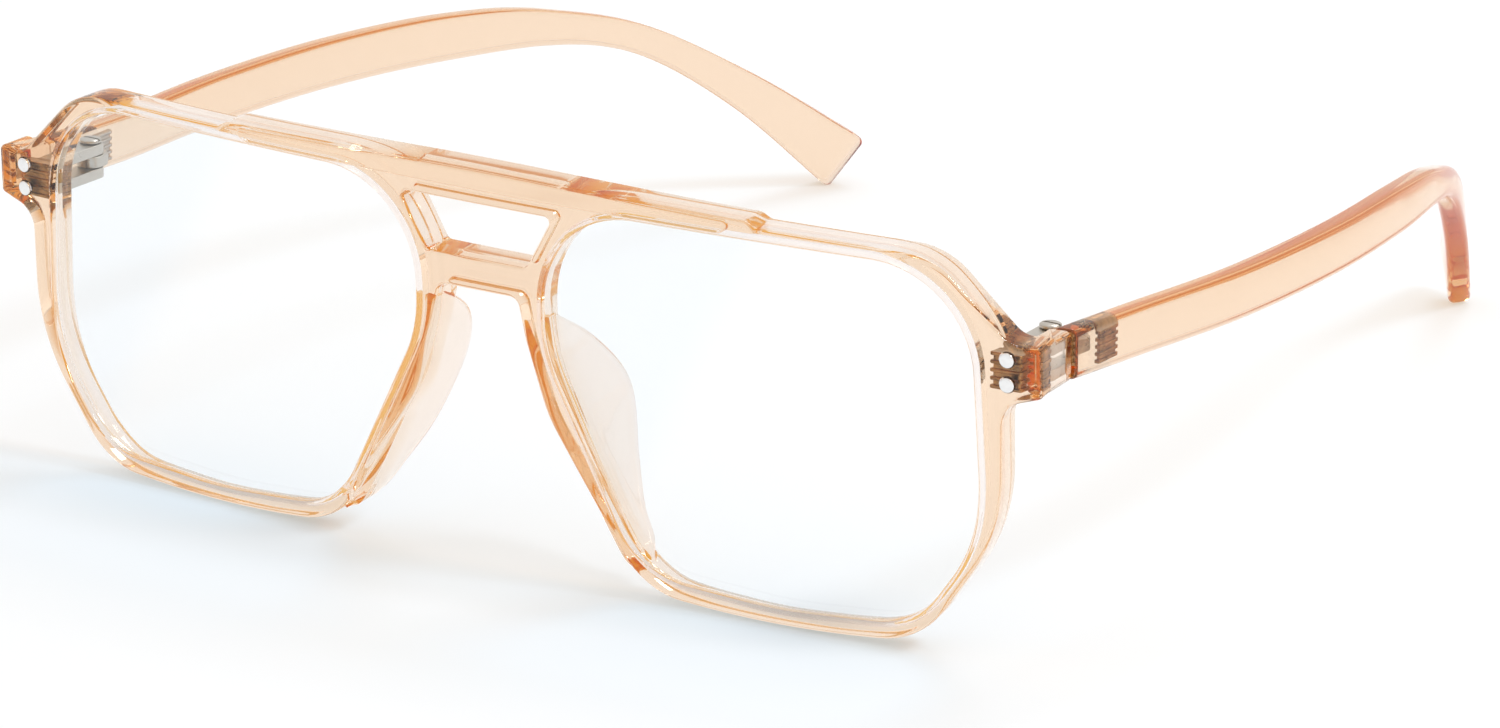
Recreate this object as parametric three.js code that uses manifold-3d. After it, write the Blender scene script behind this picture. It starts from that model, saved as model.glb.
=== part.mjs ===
// A pair of light-filter glasses with a moulded navigator front, on its rims and temple tips.
// Millimetres, +Z up, the front faces -Y and the open temples run towards +Y.
// The front is drawn flat, as (across, height, depth), then wrapped round a vertical cylinder
// and tipped forward. "side" is +1 for the wearer's left (+X) and -1 for the wearer's right.

import * as THREE from 'three';
import { mergeVertices } from 'three/addons/utils/BufferGeometryUtils.js';
import Module from 'manifold-3d';

const wasm = await Module();
wasm.setup();

// Front: how the flat drawing becomes the real shape
const wrapRadius = 509;
const lean = THREE.MathUtils.degToRad(3.55);
const rimDepth = 4.6;
const edgeChamfer = 0.45;
const facetLength = 9;
const arcTolerance = 0.05;

// Lens and its groove
const lensThickness = 1.8;
const lensFront = 0.9;
const lensBite = 0.7;
const lensClearance = 0.12;

// Under the lenses the rim is thinner from front to back, and its rear lip is lower
const grooveBack = lensFront + lensThickness + lensClearance;
const thinnedShare = 0.65;
const rearLipDrop = 0.6;

// Brow bar
const browRise = 0.5;
const browBase = 1.2;

// Endpiece and temple section at the seam
const endpieceOuter = 69.8;
const endpieceInner = 67.0;
const endpieceBottom = 31.4;
const endpieceTop = 37.3;
const endpieceDepth = 8.9;
const endpieceDrop = 1.0;
const seamGap = 0.2;

// Nose pads
const padThickness = 2.0;
const padRoot = 1.3;

// Rivets in the front
const rivetAcross = 65.8;
const rivetHeights = [35.5, 32.65];
const rivetHeadRadius = 0.95;
const rivetShankRadius = 0.5;
const rivetLength = 1.5;
const rivetClearance = 0.1;

// Hinge: three eyes on a vertical screw, inboard of the temple
const hingeX = 64.2;
const hingeY = 14.1;
const hingeBottom = 31.8;
const eyeRadius = 1.5;
const eyeHeight = 1.3;
const middleEyeHeight = 1.4;
const eyeGap = 0.1;
const boreRadius = 0.78;
const screwRadius = 0.68;
const screwHeadRadius = 1.25;
const screwHeadHeight = 0.55;
const hingeHeight = 2 * eyeHeight + middleEyeHeight + 2 * eyeGap;
const pocketClearance = 0.12;

// Temples
const templeThickness = 2.9;
const templeChamfer = 0.75;
const templeX = 67.4;
const tipTwist = THREE.MathUtils.degToRad(12);

// The origin is on the table, midway between the front and the temple tips
const originBehindFront = 76.3;

const plastic = new THREE.MeshStandardMaterial({
  color: 0xf4cfa8, roughness: 0.08, metalness: 0, transparent: true, opacity: 0.75,
});
const clearLens = new THREE.MeshStandardMaterial({
  color: 0xeaf4fb, roughness: 0.03, metalness: 0, transparent: true, opacity: 0.25,
});
const steel = new THREE.MeshStandardMaterial({ color: 0xd4d2cd, roughness: 0.25, metalness: 1 });

// ---------------------------------------------------------------- outlines

// Points round a polygon whose corners are [across, height, radius]
function roundedOutline(corners) {
  const points = [];
  corners.forEach(([x, y, radius], i) => {
    const corner = new THREE.Vector2(x, y);
    const before = new THREE.Vector2(...corners.at(i - 1)).sub(corner).normalize();
    const after = new THREE.Vector2(...corners[(i + 1) % corners.length]).sub(corner).normalize();
    if (radius === 0) {
      points.push(corner);
      return;
    }
    const half = Math.acos(THREE.MathUtils.clamp(before.dot(after), -1, 1)) / 2;
    const turn = Math.PI - 2 * half;
    const towards = before.clone().add(after).normalize();
    const centre = corner.clone().addScaledVector(towards, radius / Math.sin(half));
    const start = corner.clone().addScaledVector(before, radius / Math.tan(half)).sub(centre);
    const direction = Math.sign(before.cross(after)) * -1;
    const step = 2 * Math.acos(1 - arcTolerance / radius);
    const steps = Math.max(1, Math.ceil(turn / step));
    for (let k = 0; k <= steps; k += 1) {
      const spoke = start.clone().rotateAround(new THREE.Vector2(), (direction * turn * k) / steps);
      points.push(centre.clone().add(spoke));
    }
  });
  return points;
}

function signedArea(points) {
  return THREE.ShapeUtils.area(points);
}

// The outline moved outwards by a distance
function grown(points, distance) {
  const outward = Math.sign(signedArea(points));
  return points.map((point, i) => {
    const along = points[(i + 1) % points.length].clone().sub(points.at(i - 1)).normalize();
    return new THREE.Vector2(point.x + outward * along.y * distance, point.y - outward * along.x * distance);
  });
}

function mirroredOutline(points) {
  return points.map((point) => new THREE.Vector2(-point.x, point.y)).reverse();
}

// One lens opening, wearer's left
function lensOpening() {
  return roundedOutline([
    [62.3, 20, 26],
    [61.2, 44.7, 12],
    [8.5, 44.6, 12],
    [8.4, 27.2, 16],
    [20.6, 2.9, 10],
    [38, 1.7, 60],
    [54.6, 2.7, 10],
    [61.8, 13.0, 18],
  ]);
}

// Half of the front's outer edge, from the top centre round to the bridge's underside
function outerHalf() {
  return [
    [34.6, 46.8, 2], [35.8, 46.1, 1], [57.2, 46.0, 9], [66.3, 36.9, 3],
    [endpieceOuter, endpieceTop, 0.7], [endpieceOuter, endpieceBottom, 0.7], [65.0, 29.9, 3],
    [65.0, 15.1, 22], [55.0, 0.65, 10], [38, -0.56, 140], [20.8, 0.8, 10],
    [8.8, 19.6, 14], [6.1, 28.4, 8], [5.2, 33, 1.2],
  ];
}

function frontOutline() {
  const half = outerHalf();
  const other = half.map(([x, y, radius]) => [-x, y, radius]).reverse();
  return roundedOutline([...other, [0, 47.5, 400], ...half]).reverse();
}

// The window between the brow bar and the bridge
function bridgeWindow() {
  return roundedOutline([
    [-10.1, 43.3, 0.6], [-6.5, 36.8, 0.9], [6.5, 36.8, 0.9], [10.1, 43.3, 0.6],
  ]);
}

// ---------------------------------------------------------------- solids

function merged(geometry) {
  const bare = geometry.clone();
  bare.deleteAttribute('normal');
  bare.deleteAttribute('uv');
  return mergeVertices(bare, 1e-4);
}

function toSolid(geometry) {
  const bare = merged(geometry);
  return new wasm.Manifold(new wasm.Mesh({
    numProp: 3,
    vertProperties: new Float32Array(bare.attributes.position.array),
    triVerts: new Uint32Array(bare.index.array),
  }));
}

function toGeometry(solid) {
  const mesh = solid.getMesh();
  const geometry = new THREE.BufferGeometry();
  geometry.setAttribute('position', new THREE.BufferAttribute(mesh.vertProperties, 3));
  geometry.setIndex(new THREE.BufferAttribute(mesh.triVerts, 1));
  return geometry;
}

// The first geometry with the added ones joined and the removed ones cut away
function combined(base, added, removed) {
  let solid = toSolid(base);
  added.forEach((geometry) => {
    solid = solid.add(toSolid(geometry));
  });
  removed.forEach((geometry) => {
    solid = solid.subtract(toSolid(geometry));
  });
  return toGeometry(solid);
}

// A flat plate in the front's drawing, from one depth to another
function plate(outline, holes, nearDepth, farDepth, chamfer) {
  const shape = new THREE.Shape(outline);
  shape.holes = holes.map((hole) => new THREE.Path(hole));
  const geometry = new THREE.ExtrudeGeometry(shape, {
    depth: farDepth - nearDepth - 2 * chamfer,
    steps: 1,
    bevelEnabled: chamfer > 0,
    bevelThickness: chamfer,
    bevelSize: chamfer,
    bevelOffset: -chamfer,
    bevelSegments: 1,
  });
  geometry.rotateX(Math.PI / 2);
  geometry.translate(0, farDepth - chamfer, 0);
  return geometry;
}

// A closed skin over rings with the same number of points
function loft(rings) {
  const count = rings[0].length;
  const middleOf = (ring) => ring.reduce((sum, p) => sum.add(p), new THREE.Vector3()).divideScalar(count);
  const points = [...rings.flat(), middleOf(rings[0]), middleOf(rings.at(-1))];
  const index = [];
  for (let r = 0; r < rings.length - 1; r += 1) {
    for (let k = 0; k < count; k += 1) {
      const a = r * count + k;
      const b = r * count + ((k + 1) % count);
      index.push(a, b, b + count, a, b + count, a + count);
    }
  }
  const first = rings.length * count;
  const last = (rings.length - 1) * count;
  for (let k = 0; k < count; k += 1) {
    const next = (k + 1) % count;
    index.push(first, next, k, first + 1, last + k, last + next);
  }
  const geometry = new THREE.BufferGeometry().setFromPoints(points);
  geometry.setIndex(index);
  return geometry;
}

function mirrored(geometry) {
  const copy = merged(geometry);
  copy.scale(-1, 1, 1);
  const index = copy.index.array;
  for (let i = 0; i < index.length; i += 3) {
    [index[i], index[i + 1]] = [index[i + 1], index[i]];
  }
  return copy;
}

function onSide(geometry, side) {
  return side > 0 ? geometry : mirrored(geometry);
}

// ---------------------------------------------------------------- wrapping the front

function wrapPoint(across, depth, height) {
  const angle = across / wrapRadius;
  const radius = wrapRadius - depth;
  return new THREE.Vector3(radius * Math.sin(angle), wrapRadius - radius * Math.cos(angle), height)
    .applyAxisAngle(new THREE.Vector3(1, 0, 0), lean);
}

// The place of a small fitting set square into the front: local X across, Y inwards, Z up
function frontPlace(across, height) {
  const turn = new THREE.Matrix4().makeRotationX(lean)
    .multiply(new THREE.Matrix4().makeRotationZ(across / wrapRadius));
  return turn.setPosition(wrapPoint(across, 0, height));
}

// Every edge that spans too much of the wrap is halved, on both triangles that share it
function refined(geometry) {
  const source = merged(geometry);
  const position = source.attributes.position;
  const vertexAt = (_, i) => new THREE.Vector3().fromBufferAttribute(position, i);
  const points = Array.from({ length: position.count }, vertexAt);
  let triangles = [];
  for (let i = 0; i < source.index.count; i += 3) {
    triangles.push([source.index.getX(i), source.index.getX(i + 1), source.index.getX(i + 2)]);
  }
  const middles = new Map();
  const isLong = (a, b) => Math.abs(points[a].x - points[b].x) > facetLength;
  const middle = (a, b) => {
    const key = a < b ? `${a},${b}` : `${b},${a}`;
    if (!middles.has(key)) {
      middles.set(key, points.length);
      points.push(points[a].clone().lerp(points[b], 0.5));
    }
    return middles.get(key);
  };
  let changed = true;
  while (changed) {
    changed = false;
    const next = [];
    triangles.forEach((triangle) => {
      const spans = triangle.map((a, k) => points[a].distanceTo(points[triangle[(k + 1) % 3]]));
      const long = triangle.map((a, k) => isLong(a, triangle[(k + 1) % 3]));
      if (!long.includes(true)) {
        next.push(triangle);
        return;
      }
      changed = true;
      const k = spans.indexOf(Math.max(...spans.filter((_, i) => long[i])));
      const [a, b, c] = [triangle[k], triangle[(k + 1) % 3], triangle[(k + 2) % 3]];
      const m = middle(a, b);
      next.push([a, m, c], [m, b, c]);
    });
    triangles = next;
  }
  // a neighbour that kept a halved edge whole is split at the same point
  let open = true;
  while (open) {
    open = false;
    triangles = triangles.flatMap((triangle) => {
      for (let k = 0; k < 3; k += 1) {
        const [a, b, c] = [triangle[k], triangle[(k + 1) % 3], triangle[(k + 2) % 3]];
        const key = a < b ? `${a},${b}` : `${b},${a}`;
        if (middles.has(key)) {
          open = true;
          const m = middles.get(key);
          return [[a, m, c], [m, b, c]];
        }
      }
      return [triangle];
    });
  }
  const result = new THREE.BufferGeometry().setFromPoints(points);
  result.setIndex(triangles.flat());
  return result;
}

function wrapped(geometry) {
  const result = refined(geometry);
  const position = result.attributes.position;
  for (let i = 0; i < position.count; i += 1) {
    const point = wrapPoint(position.getX(i), position.getY(i), position.getZ(i));
    position.setXYZ(i, point.x, point.y, point.z);
  }
  return result;
}

// ---------------------------------------------------------------- front pieces

// How far the rim's back is thinned at a place: fully under the lens, not at the pad or the corner
function thinning(across, height) {
  const { smoothstep } = THREE.MathUtils;
  const out = Math.abs(across);
  return smoothstep(out, 19, 31) * (1 - smoothstep(out, 46, 56)) * (1 - smoothstep(height, 3, 12));
}

// The flat rim plate with its back thinned
function thinned(geometry) {
  const position = geometry.attributes.position;
  for (let i = 0; i < position.count; i += 1) {
    const behind = position.getY(i) - grooveBack;
    if (behind > 0) {
      const share = thinnedShare * thinning(position.getX(i), position.getZ(i));
      position.setY(i, grooveBack + behind * (1 - share));
    }
  }
  return geometry;
}

// What the lens opening takes from the rear lip: the opening moved down, behind the lens
function rearRebate() {
  return plate(lensOpening(), [], grooveBack + 0.1, rimDepth + 1, 0).translate(0, 0, -rearLipDrop);
}

// Stations down a nose pad: [across, height] of its root on the rim, then [across, depth, height]
// of its free edge
const padStations = [
  [[7.5, 30.9], [7.6, 4.0, 30.9]],
  [[8.3, 26.0], [8.8, 10.7, 26.0]],
  [[10.7, 20.0], [11.5, 13.9, 20.0]],
  [[14.6, 12.0], [14.2, 11.1, 12.0]],
  [[17.1, 7.4], [16.6, 8.3, 7.4]],
  [[18.8, 4.6], [18.5, 7.0, 4.6]],
  [[20.4, 2.8], [20.4, 4.0, 2.8]],
];

// A nose pad: a fin along the nasal rim that reaches back from it
function nosePad() {
  const rootLine = new THREE.CatmullRomCurve3(
    padStations.map(([[across, height]]) => new THREE.Vector3(across, padRoot, height)),
  );
  const edgeLine = new THREE.CatmullRomCurve3(padStations.map(([, edge]) => new THREE.Vector3(...edge)));
  const half = padThickness / 2;
  const profile = [[0, half], [0.5, half * 0.9], [0.93, half * 0.8], [1, half * 0.4]];
  const section = [...profile, ...profile.map(([reach, side]) => [reach, -side]).reverse()];
  const ringCount = 13;
  const rings = [];
  for (let i = 0; i < ringCount; i += 1) {
    const t = i / (ringCount - 1);
    const root = rootLine.getPoint(t);
    const edge = edgeLine.getPoint(t);
    const along = rootLine.getTangent(t);
    const sideways = new THREE.Vector3(-along.z, 0, along.x);
    rings.push(section.map(([reach, side]) => root.clone().lerp(edge, reach).addScaledVector(sideways, side)));
  }
  return loft(rings.reverse());
}

function browBar() {
  const outline = roundedOutline([
    [-33.8, 46.7, 0.6], [-31.5, 45.1, 1.5], [31.5, 45.1, 1.5], [33.8, 46.7, 0.6], [0, 47.5, 400],
  ].reverse());
  return plate(outline, [], -browRise, browBase, 0.3);
}

// The wall that turns back from the front to meet the temple
function endpieceWall() {
  const outline = roundedOutline([
    [endpieceInner, endpieceBottom, 0.5], [endpieceOuter, endpieceBottom, 0.7],
    [endpieceOuter, endpieceTop, 0.7], [endpieceInner, endpieceTop, 0.5],
  ]);
  const wall = plate(outline, [], edgeChamfer + 0.1, endpieceDepth, 0.35);
  const drop = new THREE.Matrix4();
  drop.elements[6] = -endpieceDrop / endpieceDepth;
  return wall.applyMatrix4(drop);
}

function lensShape(extra) {
  const outline = grown(lensOpening(), lensBite + extra);
  return plate(outline, [], lensFront - extra, lensFront + lensThickness + extra, 0.3);
}

function rivetShape(extra) {
  const head = rivetHeadRadius + extra;
  const shank = rivetShankRadius + extra;
  const profile = [
    [0, -0.3 - extra], [head * 0.7, -0.27 - extra], [head, -0.12 - extra], [head, 0.3 + extra],
    [shank, 0.45 + extra], [shank, rivetLength + extra], [0, rivetLength + extra],
  ].map(([radius, depth]) => new THREE.Vector2(radius, depth));
  return new THREE.LatheGeometry(profile, 16);
}

function rivetPlace(height) {
  return frontPlace(rivetAcross, height);
}

// ---------------------------------------------------------------- hinge pieces

// A flat plan drawn as [x, y] and raised between two heights
function slab(outline, holes, bottom, top) {
  const shape = new THREE.Shape(outline.map(([x, y]) => new THREE.Vector2(x, y)));
  shape.holes = holes;
  const geometry = new THREE.ExtrudeGeometry(shape, { depth: top - bottom, steps: 1, bevelEnabled: false });
  geometry.translate(0, 0, bottom);
  return geometry;
}

function boxBetween(low, high) {
  const size = high.map((value, i) => value - low[i]);
  const geometry = new THREE.BoxGeometry(...size);
  geometry.translate(...low.map((value, i) => value + size[i] / 2));
  return geometry;
}

const eyeLevels = {
  lower: [hingeBottom, hingeBottom + eyeHeight],
  middle: [hingeBottom + eyeHeight + eyeGap, hingeBottom + eyeHeight + eyeGap + middleEyeHeight],
  upper: [hingeBottom + hingeHeight - eyeHeight, hingeBottom + hingeHeight],
};

// An eye round the screw with an arm to two points of its plate
function eye([bottom, top], armStart, armEnd) {
  const outline = [];
  const armSpread = 0.75;
  const from = Math.atan2(armEnd[1], armEnd[0]) + armSpread;
  const to = Math.atan2(armStart[1], armStart[0]) + 2 * Math.PI - armSpread;
  const steps = 12;
  for (let k = 0; k <= steps; k += 1) {
    const angle = THREE.MathUtils.lerp(from, to, k / steps);
    outline.push([eyeRadius * Math.cos(angle), eyeRadius * Math.sin(angle)]);
  }
  const bore = new THREE.Path().absarc(0, 0, boreRadius, 0, 2 * Math.PI, true);
  return slab([armStart, armEnd, ...outline], [new THREE.Path(bore.getPoints(8))], bottom, top);
}

// Anchor of the front leaf, sunk in the back of the endpiece
const frontAnchor = { low: [-1.5, -10.0, hingeBottom], high: [2.4, -7.1, hingeBottom + hingeHeight] };

function frontAnchorShape(extra) {
  const low = frontAnchor.low.map((value) => value - extra);
  const high = frontAnchor.high.map((value) => value + extra);
  return boxBetween(low, high);
}

function frontLeaf() {
  const armStart = [-1.2, -8.2];
  const armEnd = [1.2, -8.2];
  const arms = [eyeLevels.lower, eyeLevels.upper].map((level) => eye(level, armStart, armEnd));
  return combined(frontAnchorShape(0), arms, []);
}

// Temple leaf: a plate let into the temple's inner face with a deeper anchor block
const leafPlate = { low: [1.3, 2.2, hingeBottom], high: [2.3, 7.5, hingeBottom + 3.6] };
const leafAnchor = { low: [2.2, 3.2, hingeBottom], high: [3.7, 7.3, hingeBottom + 3.6] };

function leafShape(extra) {
  const grow = ({ low, high }) => boxBetween(
    low.map((value) => value - extra),
    high.map((value) => value + extra),
  );
  return combined(grow(leafPlate), [grow(leafAnchor)], []);
}

function templeLeaf() {
  const arm = eye(eyeLevels.middle, [1.6, 2.8], [1.5, 3.8]);
  return combined(leafShape(0), [arm], []);
}

function hingeScrew() {
  const top = hingeBottom + hingeHeight;
  const profile = [
    [0, hingeBottom + 0.2], [screwRadius, hingeBottom + 0.2], [screwRadius, top + 0.05],
    [screwHeadRadius, top + 0.05], [screwHeadRadius, top + 0.4], [screwHeadRadius * 0.8, top + screwHeadHeight],
    [0, top + screwHeadHeight],
  ].map(([radius, height]) => new THREE.Vector2(radius, height));
  const body = new THREE.LatheGeometry(profile, 16).rotateX(Math.PI / 2);
  const slotTop = top + screwHeadHeight + 0.1;
  const slot = boxBetween([-2, -0.17, top + 0.28], [2, 0.17, slotTop]);
  return combined(body, [], [slot]);
}

// ---------------------------------------------------------------- temple

// The temple's centre line, open, in the glasses' frame
const templeLine = new THREE.CatmullRomCurve3([
  [templeX, 12.0, 34.2], [68.1, 25, 33.5], [69.9, 46, 32.7], [69.5, 70, 31.8], [66.6, 92, 30.5],
  [62.8, 108.5, 28.6], [58.2, 122.9, 24.7], [51.9, 139.2, 15.0], [45.0, 154.5, 2.5],
].map((point) => new THREE.Vector3(...point)));

// Height of the blade along the centre line: even, waisted at the ear bend, broad at the tip
const bladeHeights = new THREE.SplineCurve([
  [0, 5.8], [0.4, 6.0], [0.56, 5.6], [0.68, 4.0], [0.78, 4.1], [0.88, 5.4], [1, 8.0],
].map((point) => new THREE.Vector2(...point)));

function bladeHeight(t) {
  const points = bladeHeights.getPoints(40);
  const after = Math.max(1, points.findIndex((point) => point.x >= t));
  const [a, b] = [points[after - 1], points[after]];
  return THREE.MathUtils.mapLinear(t, a.x, b.x, a.y, b.y);
}

function bladeRing(t, shrink, onSeam) {
  const centre = templeLine.getPointAt(t);
  const along = templeLine.getTangentAt(t);
  const twist = -tipTwist * THREE.MathUtils.smoothstep(t, 0.7, 1);
  const sideways = new THREE.Vector3(along.y, -along.x, 0).normalize().applyAxisAngle(along, twist);
  const up = new THREE.Vector3().crossVectors(sideways, along);
  const half = templeThickness / 2 - shrink;
  const tall = bladeHeight(t) / 2 - shrink;
  const chamfer = templeChamfer;
  return [
    [half, -tall + chamfer], [half, tall - chamfer], [half - chamfer, tall], [-half + chamfer, tall],
    [-half, tall - chamfer], [-half, -tall + chamfer], [-half + chamfer, -tall], [half - chamfer, -tall],
  ].map(([side, height]) => {
    const point = centre.clone().addScaledVector(sideways, side).addScaledVector(up, height);
    return onSeam === undefined ? point : point.setY(seamY(point, onSeam));
  });
}

// Where the seam plane, set back by a distance from the endpiece, crosses a line along Y
function seamY(point, setBack) {
  const across = (endpieceInner + endpieceOuter) / 2;
  const onPlane = wrapPoint(across, endpieceDepth + setBack, (endpieceBottom + endpieceTop) / 2);
  const inward = wrapPoint(across, endpieceDepth + 1, 0).sub(wrapPoint(across, endpieceDepth, 0));
  return onPlane.y - (inward.x * (point.x - onPlane.x) + inward.z * (point.z - onPlane.z)) / inward.y;
}

function templeBlade() {
  const rings = [bladeRing(0, 0.35, seamGap), bladeRing(0, 0, seamGap + 0.35)];
  const stations = 26;
  for (let i = 1; i < stations; i += 1) {
    rings.push(bladeRing(0.985 * (i / (stations - 1)), 0));
  }
  rings.push(bladeRing(0.996, 0.35), bladeRing(1, 0.9));
  return loft(rings.map((ring) => ring.reverse()));
}

// ---------------------------------------------------------------- assembly

function piece(name, geometry, material) {
  const mesh = new THREE.Mesh(geometry, material);
  mesh.name = name;
  return mesh;
}

const atHinge = (geometry) => geometry.clone().translate(hingeX, hingeY, 0);

function frontFrame() {
  const sides = (geometry) => [geometry, mirrored(geometry)];
  const opening = lensOpening();
  const base = plate(
    frontOutline(),
    [opening, mirroredOutline(opening), bridgeWindow()],
    0,
    rimDepth,
    edgeChamfer,
  );
  const rim = combined(thinned(base), [], sides(rearRebate()));
  const flat = combined(
    rim,
    [browBar(), ...sides(nosePad()), ...sides(endpieceWall())],
    sides(lensShape(lensClearance)),
  );
  const rivetHoles = rivetHeights.flatMap(
    (height) => sides(rivetShape(rivetClearance).applyMatrix4(rivetPlace(height))),
  );
  const pockets = sides(atHinge(frontAnchorShape(pocketClearance)));
  return combined(wrapped(flat), [], [...rivetHoles, ...pockets]);
}

function rivets(side, sideName) {
  const levels = ['upper', 'lower'];
  return rivetHeights.map((height, i) => {
    const mesh = piece(`rivet_${levels[i]}_${sideName}`, onSide(rivetShape(0), side), steel);
    const place = rivetPlace(height);
    mesh.quaternion.setFromRotationMatrix(place);
    mesh.quaternion.y *= side;
    mesh.quaternion.z *= side;
    mesh.position.setFromMatrixPosition(place);
    mesh.position.x *= side;
    return mesh;
  });
}

const glasses = new THREE.Group();
const front = new THREE.Group();
front.position.y = -originBehindFront;
front.add(piece('front_frame', frontFrame(), plastic));
glasses.add(front);

const pocket = toSolid(atHinge(leafShape(pocketClearance)));
const blade = toGeometry(toSolid(templeBlade()).subtract(pocket)).translate(-hingeX, -hingeY, 0);

[[1, 'left'], [-1, 'right']].forEach(([side, sideName]) => {
  front.add(piece(`lens_${sideName}`, onSide(wrapped(lensShape(0)), side), clearLens));
  front.add(...rivets(side, sideName));

  const hinge = new THREE.Group();
  hinge.position.set(side * hingeX, hingeY, 0);
  hinge.add(piece(`hinge_front_leaf_${sideName}`, onSide(frontLeaf(), side), steel));
  hinge.add(piece(`hinge_screw_${sideName}`, onSide(hingeScrew(), side), steel));
  front.add(hinge);

  const temple = new THREE.Group();
  temple.position.set(side * hingeX, hingeY - originBehindFront, 0);
  temple.add(piece(`temple_${sideName}`, onSide(blade, side), plastic));
  temple.add(piece(`hinge_temple_leaf_${sideName}`, onSide(templeLeaf(), side), steel));
  glasses.add(temple);
});

export default glasses;
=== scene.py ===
"""Looks for the glasses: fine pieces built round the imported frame, their materials, and the studio."""

import math

import bmesh
import bpy
import numpy as np
from mathutils import Matrix, Vector, geometry

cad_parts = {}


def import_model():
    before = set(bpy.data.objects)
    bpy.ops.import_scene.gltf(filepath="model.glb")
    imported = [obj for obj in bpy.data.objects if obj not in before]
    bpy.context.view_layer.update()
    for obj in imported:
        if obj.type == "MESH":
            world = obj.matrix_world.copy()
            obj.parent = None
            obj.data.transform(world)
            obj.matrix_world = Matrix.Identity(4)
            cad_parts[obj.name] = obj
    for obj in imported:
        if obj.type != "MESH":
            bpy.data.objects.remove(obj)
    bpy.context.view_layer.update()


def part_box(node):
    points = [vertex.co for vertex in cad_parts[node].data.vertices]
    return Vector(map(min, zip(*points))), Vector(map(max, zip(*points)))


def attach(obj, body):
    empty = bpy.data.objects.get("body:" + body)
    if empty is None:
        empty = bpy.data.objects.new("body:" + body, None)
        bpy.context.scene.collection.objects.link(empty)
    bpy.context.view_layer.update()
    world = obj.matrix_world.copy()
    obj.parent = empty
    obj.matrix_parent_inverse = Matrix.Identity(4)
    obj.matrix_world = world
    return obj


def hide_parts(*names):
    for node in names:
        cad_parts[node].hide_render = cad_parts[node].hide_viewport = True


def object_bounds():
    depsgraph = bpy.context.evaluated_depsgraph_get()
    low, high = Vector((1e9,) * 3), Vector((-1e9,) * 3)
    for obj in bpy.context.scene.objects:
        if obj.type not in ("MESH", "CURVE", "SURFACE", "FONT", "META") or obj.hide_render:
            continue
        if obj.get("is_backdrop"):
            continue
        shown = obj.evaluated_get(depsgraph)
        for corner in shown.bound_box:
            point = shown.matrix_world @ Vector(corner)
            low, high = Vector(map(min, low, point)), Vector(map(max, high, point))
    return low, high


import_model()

MM = 0.001
SIDES = {"left": 1, "right": -1}

# ---------------------------------------------------------------- the frame's own places, in millimetres


def box_mm(node):
    low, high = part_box(node)
    return np.array(low) / MM, np.array(high) / MM


screw_low, screw_high = box_mm("hinge_screw_left")
HINGE_X = (screw_low[0] + screw_high[0]) / 2
HINGE_Y = (screw_low[1] + screw_high[1]) / 2
leaf_low, leaf_high = box_mm("hinge_front_leaf_left")
HINGE_BOTTOM = leaf_low[2]
HINGE_TOP = leaf_high[2]

# ---------------------------------------------------------------- driving dimensions, in millimetres

WRAP_RADIUS = 509
LEAN = math.radians(3.55)
HINGE_BEHIND_FRONT = 14.1
ORIGIN_BEHIND_FRONT = HINGE_BEHIND_FRONT - HINGE_Y

RIM_DEPTH = 4.6
RIM_FILLET = 0.55
OPENING_FILLET = 0.4
SUPPORT = 0.1
GROOVE = (0.78, 2.82, 0.8)
THINNED_SHARE = 0.65
THINNED_FROM = (19, 31)
THINNED_TO = (46, 56)
THINNED_BELOW = (3, 12)
REAR_LIP_DROP = 0.55
FILLET_STEPS = 5
SLIVER = 0.001
FILL_CLEARANCE = 0.6
MERGE_DISTANCE = 1e-7

LENS_BITE = 0.68
LENS_FRONT = 0.9
LENS_THICKNESS = 1.8
LENS_FILLET = 0.15
LENS_FILL = 3.0

BROW_RISE = 0.5
BROW_FILLET = 0.32
BROW_BACK = 1.2

ENDPIECE_INNER = 67.0
ENDPIECE_OUTER = 69.8
ENDPIECE_BOTTOM = 31.4
ENDPIECE_TOP = 37.3
ENDPIECE_DEPTH = 8.9
ENDPIECE_DROP = 1.0
WALL_START = RIM_FILLET + 0.3
WALL_INSIDE = 0.01
SEAM_GAP = 0.2

PAD_HALF = 0.95
PAD_FLARE = 0.35
PAD_FLARE_REACH = 1.1
PAD_ROOT = 1.3
PAD_EDGE_THINNING = 0.25
PAD_FOOT_THINNING = 0.6
PAD_FOOT_FROM = 0.84
PAD_ROUND_END = 0.9
PAD_THINNEST = 0.02

BLADE_THICKNESS = 2.9
BLADE_FILLET = 0.85
BLADE_START_FILLET = 0.3
BLADE_START_LENGTH = 4.5
SMALLEST_FILLET = 0.15
TIP_FILLET = 1.25
TIP_TAPER = 0.95
TIP_TWIST = math.radians(12)
TWIST_FROM = 0.7

HINGE_HEIGHT = HINGE_TOP - HINGE_BOTTOM
EYE = 1.3
EYE_GAP = 0.1
LEAF_HEIGHT = 3.6
TOOTH = 0.42
TEETH = 5
TOOTH_LENGTH = 0.28
CORE_INSET = 0.03
BORE = [(-0.76, -0.76, 0.75), (0.76, -0.76, 0.75), (0.76, 0.76, 0.75), (-0.76, 0.76, 0.75)]
RIVET_ACROSS = 65.8
RIVET_HEIGHTS = {"upper": 35.5, "lower": 32.65}

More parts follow.
